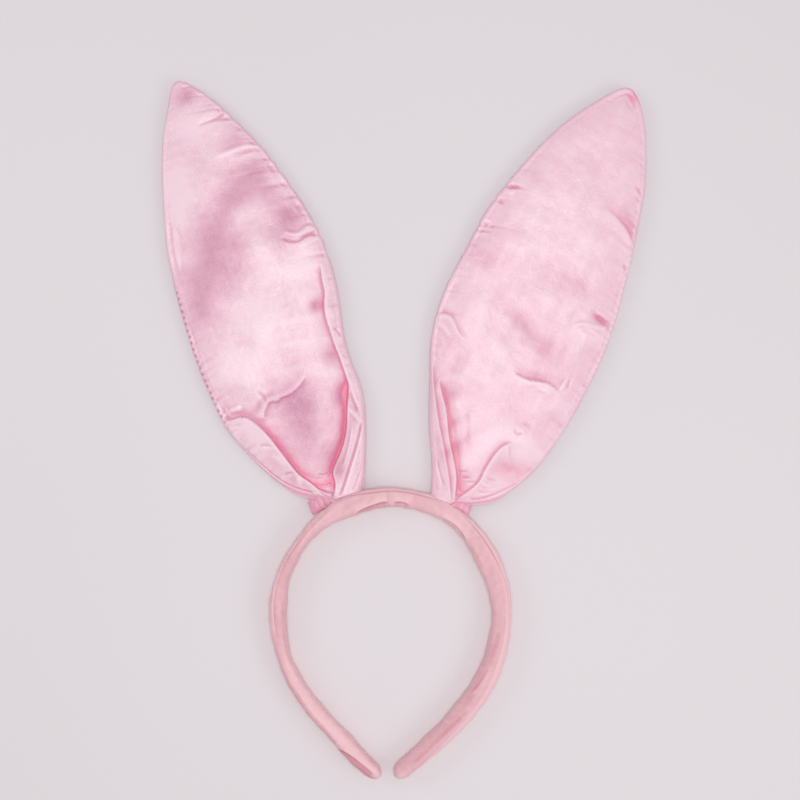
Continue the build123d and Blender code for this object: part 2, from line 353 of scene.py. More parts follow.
def beside(points, line):
    """Each point's distance from the line, positive on the line's left, and its place along it; and the
    line's length."""
    line = rounded(line)
    best = np.full(len(points), 1e9)
    side = np.zeros(len(points))
    place = np.zeros(len(points))
    done = 0.0
    for a, b in zip(line[:-1], line[1:]):
        step = b - a
        length = np.hypot(*step)
        if length < 1e-6:
            continue
        t = np.clip((points - a) @ step / length ** 2, 0, 1)
        gap = points - a - t[:, None] * step
        distance = np.hypot(gap[:, 0], gap[:, 1])
        near = distance < best
        best = np.where(near, distance, best)
        cross = step[0] * gap[:, 1] - step[1] * gap[:, 0]
        side = np.where(near, np.sign(cross), side)
        place = np.where(near, done + t * length, place)
        done += length
    return best * side, place, done


def fade(place, length, start, end):
    """1 along a line, easing to 0 at its ends."""
    ends = np.ones_like(place)
    if start:
        ends = ends * smooth(place / start)
    if end:
        ends = ends * smooth((length - place) / end)
    return ends


def groove(points, line, depth, width, start=5.0, end=5.0):
    """A narrow dip, or a ridge where depth is negative."""
    d, place, length = beside(points, line)
    return -depth * bell(d / width) * fade(place, length, start, end)


def tuck(points, line, up, down, up_reach, down_reach, side=1, sharp=0.9, start=6.0, end=6.0):
    """A fold whose edge overhangs: up on one side of the line, sinking towards it from the other."""
    d, place, length = beside(points, line)
    s = d * side
    over = smooth(s / sharp + 0.5)
    return (over * up * np.exp(-np.clip(s, 0, None) / up_reach)
            - (1 - over) * down * np.exp(np.clip(s, None, 0) / down_reach)) * fade(place, length, start, end)


def glow(points, line, amount, reach, side=1, start=6.0, end=4.0):
    """A painted glow of reflected light, strongest right under a fold's edge, fading away from it on one
    side.
    """
    d, place, length = beside(points, line)
    s = d * side
    return amount * smooth(s / 0.5 + 0.5) * np.exp(-np.clip(s, 0, None) / reach) \
        * fade(place, length, start, end)


def mound(points, x, v, height, across, along, turn=0.0):
    """A soft swelling, or a hollow where height is negative."""
    c, s = cos(radians(turn)), sin(radians(turn))
    a, b = points[:, 0] - x, points[:, 1] - v
    return height * bell(np.hypot((a * c + b * s) / across, (b * c - a * s) / along))


def ripple(points, seed, wavelength, height, count=14):
    """Smooth irregular waves of about one wavelength."""
    random = np.random.RandomState(seed)
    total = np.zeros(len(points))
    for _ in range(count):
        turn, phase, stretch = random.rand(3) * (2 * pi, 2 * pi, 1)
        k = 2 * pi / (wavelength * (0.7 + 0.8 * stretch))
        total += np.sin(k * (points[:, 0] * cos(turn) + points[:, 1] * sin(turn)) + phase)
    return height * total / np.sqrt(count / 2)


# ---------------------------------------------------------------- the ears

# Each ear's outline: how far up, and how far its left and right edges are from the middle line.
EDGES = {
    "left": [(0, -3.4, 12.2), (2.2, -5.4, 13.2), (3.7, -8.0, 14.2), (5.3, -11.2, 15.2), (7.5, -15.0, 16.3),
             (9.9, -18.2, 17.3), (14, -22.4, 19.3), (20, -26.9, 22.2), (26, -30.3, 24.8), (32, -32.8, 27.0),
             (38, -35.3, 29.0), (44, -37.8, 30.8), (50, -40.2, 31.7), (56, -41.6, 31.7), (62, -42.3, 31.4),
             (74, -43.0, 32.2), (86, -43.4, 34.8), (98, -43.1, 37.8), (110, -42.2, 39.8), (128, -40.5, 40.7),
             (140, -38.5, 39.6), (152, -36.6, 37.6), (164, -32.9, 34.7), (176, -29.1, 31.6),
             (188, -25.0, 27.5), (200, -20.4, 22.2), (212, -14.7, 16.7), (218, -10.6, 13.0), (224, -6.9, 9.0),
             (228, -4.6, 5.9), (230, -3.1, 3.9), (231.2, -1.7, 2.2), (231.6, -0.3, 0.9)],
    "right": [(0, -9.8, 2.2), (3, -10.2, 3.4), (4.3, -10.4, 7.6), (5.6, -10.8, 12.2), (8, -11.8, 16.4),
              (10.2, -12.8, 19.8), (14, -14.3, 23.4), (20, -17.4, 27.8), (26, -20.8, 31.2), (32, -23.9, 33.8),
              (38, -26.8, 35.7), (44, -29.3, 37.3), (50, -31.6, 38.6), (56, -34.0, 39.7), (62, -36.6, 40.7),
              (68, -39.2, 41.5), (74, -41.4, 42.1), (86, -44.0, 43.0), (98, -45.2, 43.5), (110, -45.0, 43.3),
              (128, -43.2, 41.4), (140, -42.8, 39.4), (152, -40.9, 37.6), (164, -37.9, 35.2),
              (176, -34.1, 32.4), (188, -30.1, 30.0), (200, -25.2, 25.6), (212, -18.8, 20.6),
              (218, -14.7, 17.4), (224, -10.4, 13.7), (230, -5.9, 9.0), (232, -4.0, 6.9), (233.4, -2.4, 5.0),
              (234.4, -0.8, 3.5), (234.9, 0.7, 2.1)],
}

# The lines that the front panels fold along.
OUTER_FLAP = [(-42, 59), (-30, 58), (-26.5, 53.5), (-23.5, 48), (-21, 41), (-18.2, 31), (-16.4, 24.5),
              (-15.0, 20), (-12.0, 15.5), (-9.6, 11.8), (-8, 8.6), (-4.5, 5.2)]
INNER_FLAP = [(27, 60), (25.5, 52), (20.5, 42), (17, 33), (11, 24), (4.8, 18.0), (1.4, 14.2), (1.2, 9.0),
              (-1.0, 4.8)]
STRIP = [(35.2, 118), (33.4, 111.5), (32.2, 106), (31.6, 101.5), (28.8, 96.5), (27.4, 90), (26.9, 82),
         (26.4, 74), (26.6, 65.6), (26.0, 55.3), (23.4, 45.7)]
CRUMPLE = [(-21, 52), (-19.9, 55.8), (-17.2, 58.2), (-15.8, 60.2), (-13.2, 59.8), (-11.8, 58.5),
           (-8.4, 60), (-5.1, 59.2), (2.2, 61.5), (8, 66)]
POCKET = [(-9.4, 13.4), (-7.4, 10.8), (-5.0, 9.6), (-2.2, 9.2), (0.4, 9.8)]
RIM = {"left": [(-38.5, 47), (-33.2, 35.5), (-27.0, 23.5), (-23.4, 18.3), (-17.6, 12.4), (-10.5, 7.6)],
       "right": [(8.7, 6.6), (13.4, 8.8), (19.0, 13.4), (25.6, 20.4), (30.4, 27.5)]}
SIDE_PLEAT = [(-37, 66), (-32.4, 56.4), (-23.5, 40.9), (-14.2, 27.5), (-5.5, 14.5), (-1.0, 6.5)]
PLEAT = [(-30, 58), (-25.4, 51.8), (-19.7, 44.7), (-13.1, 32.1), (-5.4, 21.8), (-0.9, 14.4), (2.0, 6.0)]
HOOK = [(4.6, 7), (6.2, 9.6), (8.9, 14.3), (10.3, 18.2), (10.2, 23.0), (11.0, 29.3), (12.2, 35.6),
        (14.2, 39.8), (16.6, 42.2), (18.6, 41.6)]
DENT = [(2, 77.3), (7.6, 75.4), (13.0, 75.6), (18.0, 77.2), (24.0, 78.2), (30.9, 75.2)]
ELBOW = [(20.5, 137.0), (24.7, 132.8), (29.1, 131.5), (34.0, 133.1), (39.5, 133.6)]
DRAPE = [(10.9, 172.8), (20.0, 171.0), (28.3, 167.3), (34.2, 161.6), (37, 158.8)]
CRESCENT = [(22.0, 109.6), (26.7, 113.4), (31.9, 114.0), (36, 115.0), (39.8, 115.8)]
SPUR = [(-43.8, 88.6), (-41.0, 90.1), (-38.0, 90.2), (-35.2, 89.1), (-32.3, 86.2), (-25.8, 80.7)]


def left_folds(p):
    z = tuck(p, OUTER_FLAP, 2.0, 1.6, 9.0, 5.0, side=-1, sharp=1.1, start=5, end=0)
    z += groove(p, [(-42, 61.5), (-33, 63), (-29, 62)], -0.6, 1.3, 2, 3)
    z += groove(p, [(-41, 57), (-36, 55.2), (-31, 54)], 0.35, 0.8, 1, 4)
    z += mound(p, -15.6, 16.6, 1.0, 2.0, 2.6) + mound(p, -22, 30, 0.35, 2.0, 5.0, 30)
    z += groove(p, [(-29, 41), (-24.5, 40), (-21.5, 37)], 0.3, 0.8, 2, 3)
    z += groove(p, [(-22.5, 22), (-19, 22.5), (-16.5, 20.5)], 0.4, 0.7, 2, 2)
    z += tuck(p, INNER_FLAP, 2.4, 1.7, 7.0, 5.0, side=1, sharp=0.9, start=16, end=0)
    z += groove(p, [(26.2, 57), (25, 47), (25.5, 37.5)], 0.9, 0.8, 4, 3)
    z += mound(p, 23.0, 38.5, 0.9, 1.0, 3.4, 20)
    z += groove(p, [(26, 34), (18.5, 23), (10.5, 13.2), (4, 5), (1, 2)], 0.9, 0.8, 5, 0)
    z += groove(p, [(20, 34), (14.5, 24.5), (7.5, 15.5)], 0.45, 0.7, 6, 3)
    z += groove(p, [(22.5, 19), (14.5, 8.5), (9, 2.5)], 0.35, 0.8, 4, 0)
    # The little pocket where the two flaps run into the gathers.
    z += tuck(p, POCKET, 1.3, 0.8, 1.6, 2.2, side=-1, sharp=0.7, start=2, end=2)
    z += groove(p, [(-8.2, 7.6), (-6.4, 5.0), (-5.2, 3.0)], 0.7, 0.5, 1, 0)
    z += groove(p, [(-6, 16.5), (-2.6, 14.4), (0.4, 15.4)], 0.35, 0.6, 2, 2)
    z += groove(p, [(-1.6, 8.4), (-1.8, 5.6), (-2.6, 3)], 0.6, 0.5, 1, 0)
    # The rolled strip along the right edge, with its gaping slit and its dents.
    z += tuck(p, STRIP, 1.0, 0.5, 4.5, 3.0, side=1, sharp=0.8, start=8, end=8)
    z += groove(p, STRIP, 0.35, 0.5, 8, 14)
    z += groove(p, RIM["left"], 0.9, 0.6, 8, 3)
    z += mound(p, 25.5, 97.5, -0.8, 4.5, 3.4, 25) + mound(p, 23.5, 70.5, -0.5, 4.0, 5.0, -20)
    z += mound(p, 21.0, 50.0, -0.5, 4.0, 6.0, -20) + mound(p, 30.5, 91.0, 0.5, 2.0, 3.5)
    z += groove(p, [(29.2, 84), (31.0, 80.5), (31.4, 77)], 0.35, 0.7, 2, 2)
    z += groove(p, [(28.6, 69), (30.2, 66.0)], 0.35, 0.7, 1, 1)
    # The crumpled line over the middle of the base.
    z += tuck(p, CRUMPLE, 0.7, 0.3, 5.0, 3.0, side=1, sharp=0.8, start=3, end=7)
    z += groove(p, [(-26, 55), (-19, 62.5), (-10, 65)], 0.3, 1.8, 7, 5)
    z += groove(p, [(-16.4, 60), (-17.4, 64.5), (-20, 68)], 0.3, 0.8, 1, 3)
    # Drawn-up cloth at the upper right, and a few long soft folds.
    z += groove(p, [(0.5, 205.7), (8.1, 205.8), (13.7, 205.8), (19, 208.6)], 0.4, 0.9, 5, 1)
    z += groove(p, [(1, 209), (8, 209.6), (15, 210)], -0.3, 1.6, 5, 1)
    z += groove(p, [(2.4, 187.6), (11.9, 187.0), (21.8, 187.5), (28.4, 184.6)], -0.5, 1.2, 12, 1)
    z += groove(p, [(14, 184.4), (22.5, 184.6), (29.5, 182.6)], 0.3, 1.0, 8, 0)
    z += groove(p, ELBOW, 0.65, 0.7, 4, 1)
    z += groove(p, [(22.8, 139.2), (27.3, 135.6), (31.3, 134.6), (35.7, 136.4), (41, 136.6)],
                -0.55, 1.0, 3, 1)
    z += groove(p, [(27, 128.2), (33, 129.7), (40, 130)], -0.35, 1.2, 5, 1)
    z += mound(p, 29, 146, -0.6, 7, 5.5, -20) + mound(p, 13, 168, -0.8, 16, 13, 40)
    z += mound(p, -18, 138, -0.9, 11, 26, 28) + mound(p, -12, 182, 0.5, 12, 18)
    z += mound(p, 9, 133, 0.8, 9, 12, 20) + mound(p, 5, 155, 0.5, 7, 6) + mound(p, 2, 222, -0.35, 6, 4)
    z += mound(p, -6, 100, 0.6, 16, 18) + mound(p, 8, 82, 0.6, 13, 20) + mound(p, -20, 78, 0.5, 12, 12)
    z += mound(p, -4, 40, -0.7, 9, 14, -25) + mound(p, 7, 45, 0.5, 6, 12, -20)
    return z


def right_folds(p):
    z = tuck(p, SIDE_PLEAT, 1.4, 0.5, 4.0, 2.5, side=-1, sharp=0.8, start=7, end=0)
    z += groove(p, [(-14.6, 20.2), (-10.1, 13.4), (-5.4, 8.2)], 0.5, 0.7, 4, 2)
    z += groove(p, [(-12.4, 11.5), (-8.5, 5.5)], 0.3, 0.8, 3, 0)
    z += tuck(p, PLEAT, 1.8, 1.2, 4.5, 4.5, side=-1, sharp=0.9, start=7, end=0)
    z += groove(p, [(-17.6, 46.5), (-10.5, 34), (-3.8, 22)], 0.22, 1.3, 9, 7)
    z += groove(p, [(-12, 52), (-6, 40), (-2, 28)], 0.20, 1.6, 9, 9)
    z += groove(p, [(-8.8, 33), (-3.2, 22.5), (0.4, 15)], 0.25, 0.9, 6, 3)
    z += tuck(p, HOOK, 1.0, 0.5, 4.0, 2.0, side=-1, sharp=0.7, start=0, end=6)
    z += groove(p, HOOK, 0.35, 0.45, 0, 3)
    z += groove(p, RIM["right"], 0.8, 0.5, 3, 8)
    z += groove(p, [(10.5, 12.2), (16, 13.4), (22, 17.4)], 0.25, 0.7, 3, 5)
    z += groove(p, [(10.8, 17.6), (14.6, 16.8), (18.4, 18.6)], -0.3, 1.0, 3, 4)
    z += groove(p, [(11.8, 21.4), (15, 20.4), (19.5, 22.0)], 0.22, 0.8, 3, 4)
    z += groove(p, [(16.3, 50.2), (17.0, 48.4), (18.6, 47.8), (21.1, 49.9)], 0.35, 0.55, 1, 2)
    z += groove(p, [(18.4, 53.6), (21.5, 54.4), (24.6, 53.2)], 0.2, 0.9, 2, 2)
    z += mound(p, 24, 31, -0.5, 13, 5.5, 20) + mound(p, 25, 44, 0.7, 12, 7, 10)
    for x, v in ((0.2, 19.0), (3.0, 16.6), (6.4, 15.6)):
        z += groove(p, [(x - 2.4, v - 1.0), (x + 2.8, v + 1.0)], 0.28, 0.6, 2, 2)
    # The dent across the middle, the small tuck beside it, and the hollow near the right edge.
    z += tuck(p, DENT, 0.5, 0.45, 7.0, 3.0, side=-1, sharp=1.0, start=9, end=8)
    z += groove(p, [(10, 76.2), (15.5, 76.8), (20.5, 78.6)], 0.3, 0.5, 3, 3)
    z += groove(p, [(17, 73.0), (22, 74.6), (27, 73.6)], -0.25, 1.2, 3, 4)
    z += mound(p, 30.2, 81.5, 0.55, 1.1, 3.6, -8) + groove(p, [(32.3, 85), (32.7, 78.5)], 0.35, 0.6, 2, 2)
    z += groove(p, CRESCENT, -0.6, 1.0, 5, 2) + mound(p, 35.0, 118.6, -0.8, 5.0, 2.4, -8)
    z += groove(p, [(30, 121.2), (34.2, 121.6), (38.6, 120.0)], -0.3, 0.9, 3, 2)
    z += groove(p, [(27, 109.8), (31.5, 110.8), (37.0, 109.2)], 0.3, 0.8, 3, 3)
    z += tuck(p, SPUR, 0.55, 0.35, 5.0, 3.0, side=-1, sharp=0.8, start=1, end=7)
    z += groove(p, [(-42.6, 84), (-37, 83), (-32.5, 78.5)], -0.3, 1.4, 1, 5)
    # Drawn-up cloth along the left edge and at the upper right.
    z += groove(p, [(-39.0, 162.5), (-35, 163.7), (-29.2, 165.6)], 0.9, 0.9, 0, 5)
    z += groove(p, [(-39, 165.4), (-34, 167.0)], -0.5, 0.9, 0, 3)
    z += groove(p, [(-37, 160), (-31, 162)], -0.4, 1.1, 0, 4)
    z += groove(p, [(-41, 154.6), (-37.6, 154.2), (-33.6, 153.5)], 0.7, 0.7, 0, 4)
    z += groove(p, [(-45, 139.4), (-40.6, 140.1), (-34, 140.9)], 0.8, 0.7, 0, 5)
    z += groove(p, [(-43.6, 136), (-39.4, 137.1), (-34.6, 138)], 0.7, 0.6, 0, 4)
    z += groove(p, [(-43, 142.6), (-37, 143.4)], -0.4, 1.0, 0, 4)
    z += tuck(p, DRAPE, 0.75, 0.55, 7.0, 4.5, side=-1, sharp=1.8, start=20, end=0)
    z += groove(p, [(24, 160.6), (30, 159.6), (36.4, 157.2)], 0.3, 1.0, 7, 0)
    z += groove(p, [(33.0, 150.4), (38.6, 146.8)], 0.5, 0.8, 3, 0)
    z += groove(p, [(22.5, 190), (30.5, 186)], 0.4, 1.0, 4, 0)
    z += groove(p, [(32.2, 182), (29.4, 174.5)], 0.3, 1.0, 1, 4)
    z += mound(p, -1, 102, -0.6, 13, 5, -25) + mound(p, 16, 92, -0.4, 8, 10, 40)
    z += mound(p, 12, 130, -0.5, 12, 6)
    z += mound(p, -30, 125, -0.5, 10, 8) + mound(p, -26, 106, 0.5, 9, 9) + mound(p, -8, 84, 0.6, 9, 9)
    z += mound(p, -9, 165, 0.5, 15, 18) + mound(p, 11, 148, 0.4, 10, 12) + mound(p, -25, 68, -0.5, 7, 10)
    z += mound(p, 5, 229, -0.5, 4, 5)
    return z


FOLDS = {"left": left_folds, "right": right_folds}

# Painted shade and painted sheen on the satin, patches drawn deeper where the cloth turns away from the light
# and lighter where it catches it: x, v, how much, across, along, turned by.
PAINTED_SHADE_AND_SHEEN = {
    "left": [(20, 172, 0.75, 10, 9, 30), (6, 166, 0.6, 11, 8, 45), (-10, 153, 0.55, 14, 10, 45),
             (-9, 140, 0.6, 11, 14, 0), (-24, 128, 0.75, 11, 12, 20), (-31, 116, 0.6, 8, 9, 0),
             (29, 147, 0.75, 7, 9, 10), (24, 160, 0.35, 6, 8, 0), (16, 192, 0.45, 7, 4, 0),
             (2, 222.5, 0.75, 5, 4, 30), (25.5, 98, 0.55, 4, 5, 25), (23, 70, 0.45, 5, 7, -10),
             (21, 50, 0.9, 4, 7, -30), (-16, 60, 0.4, 8, 5, 20), (-4, 42, 0.85, 13, 21, -20),
             (-2, 54, 0.75, 11, 8, 0),
             (2, 22, 0.6, 6, 8, -20), (14, 30, 0.9, 3.5, 12, -32), (5, 14, 0.8, 3, 7, -30),
             (5, 155, -0.22, 6, 5, 30), (9, 136, -0.1, 9, 9, 0), (-22, 176, -0.5, 9, 18, 0),
             (-28, 144, -0.3, 7, 4, -10), (28, 166, -0.3, 3, 6, 20), (0, 207, -0.35, 10, 9, 0),
             (20, 182, -0.4, 9, 2.5, -8), (0, 105, -0.35, 20, 16, 30), (24, 121, -0.3, 10, 8, 0),
             (22, 137, 0.45, 11, 9, 0),
             (-22, 84, -0.3, 12, 14, 0), (-29, 47, -0.35, 4, 9, 20)],
    "right": [(-1, 102, 0.5, 14, 5, -25), (16, 92, 0.4, 9, 12, 40), (-31, 126, 0.5, 11, 7, 0),
              (11, 131, 0.4, 14, 6, 0), (34, 119.5, 0.9, 5.5, 2.0, -10), (16, 79.5, 0.6, 10, 2.5, 8),
              (23, 30, 0.2, 14, 6, 20), (5, 232, 0.8, 4, 3.5, 0), (29, 171, 0.7, 7, 2.4, -40),
              (-7, 31, 0.8, 2.6, 14, -30), (-13, 40, 0.45, 2.4, 12, -30), (-20, 52, 0.4, 3, 12, -32),
              (2, 17, 0.7, 4, 5, -20), (-33, 76, 0.35, 6, 10, -25), (-24, 60, 0.35, 10, 8, 0),
              (-34, 164, 0.5, 4, 1.2, 15), (33, 185, 0.3, 3, 12, 12), (12, 56, 0.25, 14, 8, 0),
              (12, 66, 0.12, 16, 10, 0), (5, 36, -0.35, 6, 14, -20), (28, 38, -0.6, 8, 6, 30),
              (0, 160, -0.2, 20, 16, 0), (30, 110, -0.45, 7, 2.2, 5), (26, 166, -0.35, 10, 2.5, -35),
              (20, 16, -0.4, 7, 3, 30)],
}

# Painted glow: where the cloth faces itself under a fold, its reflected light is painted as a stronger pink:
# line, how much, reach, side, and how far the glow takes to start and to end. The table after it adds patches
# of the painted glow: x, v, how much, across, along, turned by.
GLOWS = {
    "left": [(RIM["left"], 0.45, 0.6, 1, 8, 2), (OUTER_FLAP[2:], 0.7, 2.0, 1, 12, 2),
             (INNER_FLAP, 0.9, 2.4, -1, 7, 2), (STRIP, 0.28, 1.6, -1, 8, 8), (CRUMPLE, 0.10, 0.8, -1, 2, 5),
             (POCKET, 0.55, 1.3, 1, 1, 1), (ELBOW, 0.18, 0.8, -1, 3, 2)],
    "right": [(RIM["right"], 0.35, 0.6, 1, 2, 8), (SIDE_PLEAT, 0.40, 0.8, 1, 8, 2),
              (PLEAT, 0.5, 2.8, 1, 8, 2), (HOOK, 0.42, 0.6, 1, 1, 5), (DENT, 0.2, 1.1, 1, 8, 8),
              (DRAPE, 0.3, 1.8, 1, 14, 1), (SPUR, 0.22, 0.8, 1, 1, 6)],
}
PAINTED_GLOW_PATCHES = {
    "left": [(23, 51, 0.3, 2.5, 5, 10), (27.5, 97, 0.15, 2.2, 3.0, 0), (-3, 11, 0.35, 3.5, 1.6, 0)],
    "right": [(25, 31, 0.28, 11, 3.6, 24), (34.5, 119, 0.3, 4.0, 1.6, -10), (5, 231, 0.4, 4, 3.0, 0),
              (3.2, 11, 0.35, 2.0, 4, 0), (-5, 27, 0.18, 2.5, 10, -30), (-35, 163.6, 0.2, 4, 1.0, 15),
              (34, 185, 0.10, 2, 12, 12)],
}

# Stretches of each ear's edge that its seam draws up: side, from v, to v, how much. Then single notches:
# side, v, how deep.
PUCKERS = {
    "left": [(1, 118, 222, 0.5), (1, 60, 118, 0.3), (-1, 20, 120, 0.35), (-1, 120, 225, 0.12)],
    "right": [(-1, 60, 185, 0.22), (-1, 185, 228, 0.1), (1, 60, 215, 0.4), (1, 14, 60, 0.25)],
}
NOTCHES = {
    "left": [(1, 226.5, 0.5), (1, 219.5, 0.7), (1, 209.3, 1.3), (1, 203.2, 0.9), (1, 196, 0.5),
             (1, 187.0, 1.2), (1, 176.7, 1.0), (1, 169.8, 1.2), (1, 160.8, 0.9), (1, 154, 0.6),
             (1, 147.5, 0.8), (1, 136.7, 1.1), (1, 131.6, 1.0), (1, 120, 0.8)],
    "right": [(-1, 163.0, 1.7), (-1, 154.5, 1.2), (-1, 139.2, 1.5), (-1, 136.2, 1.2), (-1, 128, 0.5),
              (-1, 89, 1.0), (1, 185.8, 0.6), (1, 159, 1.0), (1, 147.2, 0.9), (1, 116, 0.9), (1, 84, 0.5)],
}
# Stretches where the sewing shows as dots along an edge: side, from v, to v, deeper or lighter.
DOTS = {"left": [(-1, 52, 135, 0.9)], "right": [(1, 88, 162, -0.5)]}


class Ear:
    """One ear: its outline and axes, and the pieces that are laid out on them."""

    ROWS, COLUMNS, BACK_COLUMNS = 380, 150, 64
    TOP, BOTTOM = 3.9, 3.7                # how far the front and the back stand from the middle plane
    ROLL, ROLL_REACH = 1.15, 1.3          # the rounded edge: its height, and how far in it takes to rise
    SEAM_INSET, SEAM_DEPTH = 2.9, 0.10    # the line of stitching inside the edge
    PUCKER_SPAN = 240                     # puckers are drawn along this much of each edge
    BATTING_LOW, BATTING_STOP = 34, 9     # the batting starts above the gathers and stops below the tip
    BATTING_INSET, BATTING_HALF = 4.2, 1.15
    NECK_LOW, NECK_HIGH = 0.6, 12.0
    NECK_LEVEL = -0.6                     # the gathers lie this far from the middle plane

    def __init__(self, side):
        tilt = joints[side + "_ear_tilt"]
        self.side = side
        self.x = np.array(tilt["axis"])
        self.y = np.cross([0, 0, 1.0], self.x)
        self.seat = np.array(tilt["pos_m"]) / MM - SEAT * self.y
        table = np.array(EDGES[side])
        top = table[-1, 0]
        # Rows close up towards the tip and the band, where the shape turns fastest.
        t = np.linspace(0, 1, self.ROWS)
        self.v = top * (t - 0.045 * np.sin(2 * pi * t) - 0.02 * np.sin(4 * pi * t))
        self.v = top * (self.v - self.v[0]) / (self.v[-1] - self.v[0])
        dense = np.linspace(0, top, 1200)
        self.low, self.high = (self.eased(table[:, 0], table[:, k], dense) for k in (1, 2))
        self.random = np.random.RandomState(7 if side == "left" else 19)
        self.draw = {s: self.pucker_wave(s) for s in (-1, 1)}

    def eased(self, at, values, dense):
        """The edge's offset at each row: the table's line, smoothed everywhere but near the tip."""
        line = np.interp(dense, at, values)
        step = dense[1] - dense[0]
        soft = smoothed(line, 60, 4.0 / step)
        ease = smooth((dense[-1] - dense) / 14.0) * smooth(dense / 8.0)
        line = line * (1 - ease) + soft * ease
        return np.interp(self.v, dense, line)

    def pucker_wave(self, side):
        """How far the seam draws the cloth in and out along one edge: short irregular waves."""
        place = np.arange(0, self.PUCKER_SPAN, 0.25)
        wave = np.zeros_like(place)
        at = 0.0
        while at < self.PUCKER_SPAN:
            gap = 3.0 + 5.5 * self.random.rand() ** 1.3
            wave += (0.4 + 0.9 * self.random.rand()) * bell((place - at) / (0.16 * gap + 0.3))
            at += gap
        strength = np.zeros_like(place)
        for s, start, end, amount in PUCKERS[self.side]:
            if s == side:
                strength += amount * smooth((place - start) / 9 + 0.5) * smooth((end - place) / 9 + 0.5)
        wave = wave * strength
        for s, at, deep in NOTCHES[self.side]:
            if s == side:
                wave += deep * bell((place - at) / 0.9)
        return place, wave

    def pull(self, side, v):
        place, wave = self.draw[side]
        return np.interp(v, place, wave)

    def world(self, x, v, z):
        up = np.array([0, 0, 1.0])
        return self.seat + x[..., None] * self.x + v[..., None] * self.y + z[..., None] * up

    def outline(self, inset=0.0, samples=500):
        """The edge as one line, up the left side and down the right, moved inwards."""
        left = np.stack([self.low, self.v], 1)
        right = np.stack([self.high, self.v], 1)[::-1]
        line = np.vstack([left, right[1:]])
        s = lengths(line)
        even = np.linspace(0, s[-1], samples)
        line = np.stack([np.interp(even, s, line[:, k]) for k in (0, 1)], 1)
        if inset:
            step = np.gradient(line, axis=0)
            step /= np.linalg.norm(step, axis=1)[:, None]
            normal = np.stack([smoothed(step[:, 1], 9, 4.0), smoothed(-step[:, 0], 9, 4.0)], 1)
            normal /= np.linalg.norm(normal, axis=1)[:, None]
            line = line + inset * normal
        return line

    def sheet(self, columns):
        """The flat places of a panel's grid, and how far each is from the ear's edge."""
        s = np.linspace(-1, 1, columns)
        s = np.sign(s) * (1 - (1 - np.abs(s)) ** 1.35)
        middle, half = (self.low + self.high) / 2, (self.high - self.low) / 2
        x = middle[:, None] + half[:, None] * s[None, :]
        v = np.broadcast_to(self.v[:, None], x.shape).copy()
        # The hem follows the band's round outer face.
        hem = -x ** 2 / (2 * BAND_FACE)
        v += hem * (1 - smooth(v / 22.0))
        flat = np.stack([x.ravel(), v.ravel()], 1)
        distance = nearest(flat, self.outline()).reshape(x.shape)
        distance[:, 0] = distance[:, -1] = distance[-1, :] = 0
        return x, v, distance

    def heights(self, x, v, distance, front):
        p = np.stack([x.ravel(), v.ravel()], 1)
        d = distance.ravel()
        side = np.where(p[:, 0] > 0, 1, -1)
        top = self.TOP if front else self.BOTTOM
        risen = np.clip(d, 0, self.ROLL_REACH) / self.ROLL_REACH
        roll = self.ROLL * np.sqrt(np.clip(1 - (1 - risen) ** 2, 0, 1))
        body = (top - 1.45) * (1 - np.exp(-(np.clip(d - 0.6, 0, None) / 8.5) ** 1.25))
        narrow = smooth(p[:, 1] / 16.0)
        body = body * (0.8 + 0.2 * narrow) + (1 - narrow) * 0.9 * smooth(d / 5)
        stitch = 0.6 + 0.4 * np.sin(2 * pi * p[:, 1] / STITCH)
        seam = -self.SEAM_DEPTH * bell((d - self.SEAM_INSET) / 0.5) * stitch * smooth(p[:, 1] / 12)
        drawn = np.where(side > 0, self.pull(1, p[:, 1] - 0.25 * d), self.pull(-1, p[:, 1] - 0.25 * d))
        reach = 1.8 + 3.4 * np.sin(p[:, 1] * 0.31 + 1.3) ** 4
        tucks = -0.75 * drawn * np.exp(-np.clip(d - 1.0, 0, None) / reach) * smooth(d / 1.5)
        inner = smooth((d - 0.4) / 3.5)
        waves = ripple(p, 3 + 8 * front + (self.side == "left"), 34, 0.22) \
            + ripple(p, 11 + front + 2 * (self.side == "left"), 13, 0.07) \
            + ripple(p, 23 + front, 5, 0.018)
        z = roll + body + seam + tucks + waves * inner
        if front:
            z = z + FOLDS[self.side](p) * smooth((d - 0.2) / 2.2)
        else:
            z = z + groove(p, [(-8, 2), (-13, 22), (-17, 40)], 0.8, 1.6, 0, 9) * inner \
                + groove(p, [(0, 2), (1, 20), (-1, 46)], 0.9, 1.8, 0, 9) * inner \
                + groove(p, [(8, 2), (12, 20), (17, 36)], 0.8, 1.6, 0, 9) * inner
        # It never dips into the wire or the batting, and the hem closes onto the back.
        z = np.maximum(z, 0.85 * smooth(d / 1.0) + 0.6 * smooth((d - 3) / 2))
        z = z.reshape(x.shape)
        return z * np.sqrt(1 - (1 - np.clip(self.v / 1.6, 0, 1)) ** 2)[:, None]
